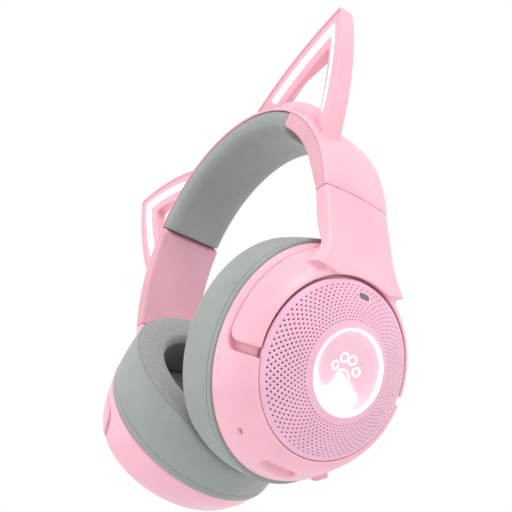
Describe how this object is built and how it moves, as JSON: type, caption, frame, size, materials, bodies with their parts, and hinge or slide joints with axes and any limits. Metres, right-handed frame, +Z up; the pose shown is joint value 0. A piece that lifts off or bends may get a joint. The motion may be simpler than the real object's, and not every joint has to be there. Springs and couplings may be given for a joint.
{
  "type": "gaming headset",
  "caption": "Wireless over-ear gaming headset with cat-ear frames on the headband, sliding yokes, swinging cups with domed perforated grilles and oval cushions.",
  "frame": {"origin": "under the middle of the headset, level with its lowest point, which is the underside of the two cups", "axes": "+X is the wearer's left, -Y is the wearer's front, where the cat ears' lights face, and +Z is up through the top of the headband"},
  "size_m": [0.189, 0.0864, 0.2062],
  "materials": {
    "pink_shell": "fine satin",
    "pink_frame": "matte",
    "pink_grille": "satin",
    "pink_dish": "gloss",
    "pink_button": "satin",
    "light_diffuser": "milky, lit from behind",
    "grey_leatherette": "soft fine grain",
    "grey_cloth": "thin woven cloth",
    "black_plastic": "matte",
    "spring_steel": "satin",
    "slider_steel": "brushed",
    "screw_steel": "satin",
    "circuit_board": "solder mask",
    "diaphragm_film": "thin film",
    "battery_pouch": "laminated foil"
  },
  "bodies": {
    "headband": {"headband_outer_shell": "pink_shell", "headband_inner_frame": "pink_frame", "headband_spring_band": "spring_steel", "headband_pad": "grey_leatherette", "headband_screws": "screw_steel", "headband_screw_covers": "pink_frame", "headband_wire": "black_plastic", "ear_frame_left": "pink_shell", "ear_frame_right": "pink_shell", "ear_rear_cover_left": "pink_frame", "ear_rear_cover_right": "pink_frame", "ear_light_strip_left": "light_diffuser", "ear_light_strip_right": "light_diffuser", "ear_led_board_left": "circuit_board", "ear_led_board_right": "circuit_board", "slider_guide_left": "black_plastic", "slider_guide_right": "black_plastic", "detent_spring_left": "spring_steel", "detent_spring_right": "spring_steel"},
    "left_yoke": {"yoke_left": "pink_shell", "slider_strip_left": "slider_steel", "slider_screws_left": "screw_steel", "pivot_pins_left": "screw_steel"},
    "right_yoke": {"yoke_right": "pink_shell", "slider_strip_right": "slider_steel", "slider_screws_right": "screw_steel", "pivot_pins_right": "screw_steel"},
    "left_cup": {"cup_housing_left": "pink_shell", "baffle_left": "black_plastic", "baffle_screws_left": "screw_steel", "grille_left": "pink_grille", "centre_cap_left": "pink_dish", "light_ring_left": "light_diffuser", "emblem_light_left": "light_diffuser", "cup_led_board_left": "circuit_board", "driver_left": "black_plastic", "driver_diaphragm_left": "diaphragm_film", "driver_cloth_left": "grey_cloth", "ear_cushion_left": "grey_leatherette", "cushion_ring_left": "black_plastic", "main_board": "circuit_board", "usb_socket": "screw_steel", "microphone": "black_plastic"},
    "right_cup": {"cup_housing_right": "pink_shell", "baffle_right": "black_plastic", "baffle_screws_right": "screw_steel", "grille_right": "pink_grille", "centre_cap_right": "pink_dish", "light_ring_right": "light_diffuser", "emblem_light_right": "light_diffuser", "cup_led_board_right": "circuit_board", "driver_right": "black_plastic", "driver_diaphragm_right": "diaphragm_film", "driver_cloth_right": "grey_cloth", "ear_cushion_right": "grey_leatherette", "cushion_ring_right": "black_plastic", "battery": "battery_pouch"},
    "power_key": {"power_button": "pink_button"},
    "volume_up_key": {"volume_up_button": "pink_button"},
    "volume_down_key": {"volume_down_button": "pink_button"}
  },
  "joints": [
    {"name": "left_slider", "type": "slide", "parent": "headband", "child": "left_yoke", "axis": [0.0872, 0, -0.9962], "range_m": [0, 0.022]},
    {"name": "left_cup_swing", "type": "hinge", "parent": "left_yoke", "child": "left_cup", "pos_m": [0.05245, 0, 0.03988], "axis": [0, -1, 0], "range_deg": [0, 8]},
    {"name": "right_slider", "type": "slide", "parent": "headband", "child": "right_yoke", "axis": [-0.0872, 0, -0.9962], "range_m": [0, 0.022]},
    {"name": "right_cup_swing", "type": "hinge", "parent": "right_yoke", "child": "right_cup", "pos_m": [-0.05245, 0, 0.03988], "axis": [0, 1, 0], "range_deg": [0, 8]},
    {"name": "power_press", "type": "slide", "parent": "left_cup", "child": "power_key", "axis": [0.4678, -0.4067, 0.7847], "range_m": [0, 0.0006], "stiffness_N_per_m": 2000},
    {"name": "volume_up_press", "type": "slide", "parent": "left_cup", "child": "volume_up_key", "axis": [0.3745, -0.682, 0.6282], "range_m": [0, 0.0006], "stiffness_N_per_m": 2000},
    {"name": "volume_down_press", "type": "slide", "parent": "left_cup", "child": "volume_down_key", "axis": [0.2404, -0.8829, 0.4033], "range_m": [0, 0.0006], "stiffness_N_per_m": 2000}
  ]
}
